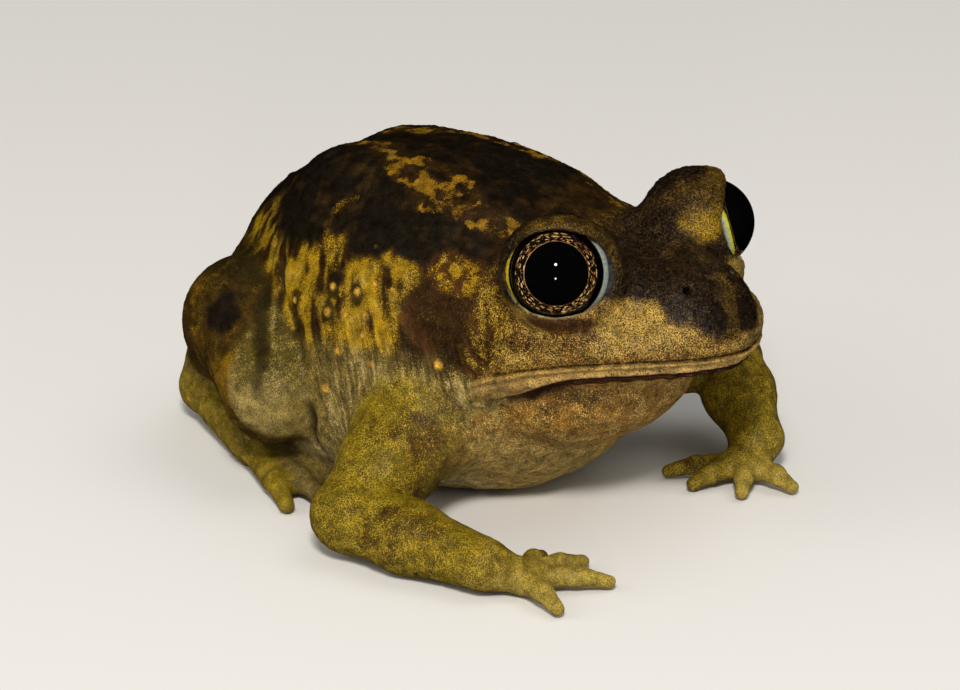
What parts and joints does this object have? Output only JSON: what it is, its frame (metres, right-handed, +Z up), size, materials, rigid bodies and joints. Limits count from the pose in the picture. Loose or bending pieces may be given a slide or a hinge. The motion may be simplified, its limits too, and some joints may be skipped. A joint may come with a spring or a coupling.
{
  "type": "eastern spadefoot model",
  "caption": "Life-size still model of a stout, big-eyed spadefoot toad sitting with its belly on the ground, head raised and forelegs spread.",
  "frame": {"origin": "on the floor, under the middle of the model's length and width", "axes": "+X the way the snout points, +Y the animal's left, +Z up"},
  "size_m": [0.0446, 0.0378, 0.0228],
  "materials": {
    "skin": "moist, satin, finely grained",
    "eye": "wet gloss",
    "spade": "polished horn"
  },
  "bodies": {
    "root": {"torso": "skin", "head": "skin", "lower_jaw": "skin", "upper_arm_right": "skin", "upper_arm_left": "skin", "forearm_right": "skin", "forearm_left": "skin", "hand_right": "skin", "hand_left": "skin", "thigh_right": "skin", "thigh_left": "skin", "shank_right": "skin", "shank_left": "skin", "foot_right": "skin", "foot_left": "skin", "eye_right": "eye", "eye_left": "eye", "spade_right": "spade", "spade_left": "spade"}
  },
  "joints": []
}
